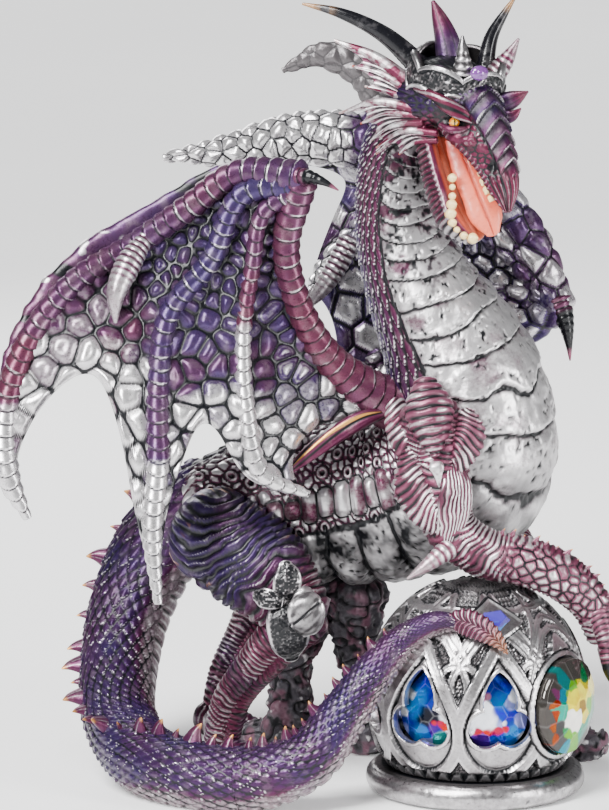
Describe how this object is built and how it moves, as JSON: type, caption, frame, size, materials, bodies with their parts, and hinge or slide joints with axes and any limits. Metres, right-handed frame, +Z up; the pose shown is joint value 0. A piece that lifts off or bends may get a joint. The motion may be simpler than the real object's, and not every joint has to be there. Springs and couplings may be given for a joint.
{
  "type": "crystal ball",
  "caption": "Jewelled openwork crystal ball lit from inside, guarded by a winged dragon cast in resin, with a battery LED unit in its foot.",
  "frame": {"origin": "centre of the crystal ball's flat underside, on the table, on the ball's vertical axis", "axes": "+Z up; -Y towards the viewer, the side with the tail and the near wing; +X towards the head and the round gem"},
  "size_m": [0.2216, 0.1358, 0.2843],
  "materials": {
    "antique_silver": "antiqued silver paint, dark in the hollows and rubbed bright on the ridges",
    "purple_scale": "pearl violet over dark wash on cast resin, rubbed with silver",
    "rose_scale": "pearl rose over dark wash on cast resin, rubbed with silver",
    "black_horn": "gloss black with bone tips",
    "dark_rock": "dark resin dry-brushed with silver",
    "coral_flesh": "satin coral paint",
    "blue_crystal": "faceted acrylic with a mirrored blue and violet coating",
    "rainbow_crystal": "faceted acrylic with an iridescent coating",
    "violet_gem": "violet acrylic",
    "amber_eye": "gloss amber",
    "black_plastic": "moulded black",
    "white_plastic": "frosted white",
    "board_green": "solder mask",
    "steel": "plated",
    "cell_steel": "polished"
  },
  "bodies": {
    "figurine": {"orb_dome": "antique_silver", "orb_foot_ring": "antique_silver", "crown_band": "antique_silver", "knee_guard": "antique_silver", "nape_fin": "antique_silver", "arch_crystal_1": "blue_crystal", "arch_crystal_2": "blue_crystal", "arch_crystal_3": "blue_crystal", "arch_crystal_4": "blue_crystal", "arch_crystal_5": "blue_crystal", "arch_crystal_6": "blue_crystal", "arch_crystal_7": "blue_crystal", "lozenge_gem": "blue_crystal", "round_gem": "rainbow_crystal", "base_cover": "black_plastic", "battery_tray": "black_plastic", "cover_screw_1": "steel", "cover_screw_2": "steel", "cover_screw_3": "steel", "contact_spring": "steel", "contact_plate": "steel", "switch_body": "steel", "near_wing_pin": "steel", "far_wing_pin": "steel", "button_cell_1": "cell_steel", "button_cell_2": "cell_steel", "button_cell_3": "cell_steel", "led_board": "board_green", "led_1": "white_plastic", "led_2": "white_plastic", "led_3": "white_plastic", "light_diffuser": "white_plastic", "rock_base": "dark_rock", "torso_casting": "purple_scale", "near_wing": "purple_scale", "far_wing": "purple_scale", "tail_root": "purple_scale", "tail_curl": "purple_scale", "tail_tip": "purple_scale", "head_casting": "purple_scale", "crest_horn": "purple_scale", "near_hind_leg": "rose_scale", "far_hind_leg": "rose_scale", "near_foreleg": "rose_scale", "far_foreleg": "rose_scale", "lower_jaw": "rose_scale", "tongue": "coral_flesh", "crown_gem": "violet_gem", "left_horn": "black_horn", "right_horn": "black_horn", "near_eye": "amber_eye", "far_eye": "amber_eye"},
    "battery_door": {"battery_door": "black_plastic", "door_screw": "steel"},
    "switch_knob": {"switch_knob": "black_plastic"}
  },
  "joints": [
    {"name": "battery_door_hinge", "type": "hinge", "parent": "figurine", "child": "battery_door", "pos_m": [0, 0.0187, 0.0002], "axis": [1, 0, 0], "range_deg": [0, 100]},
    {"name": "switch_slide", "type": "slide", "parent": "figurine", "child": "switch_knob", "axis": [1, 0, 0], "range_m": [0, 0.0036]}
  ]
}
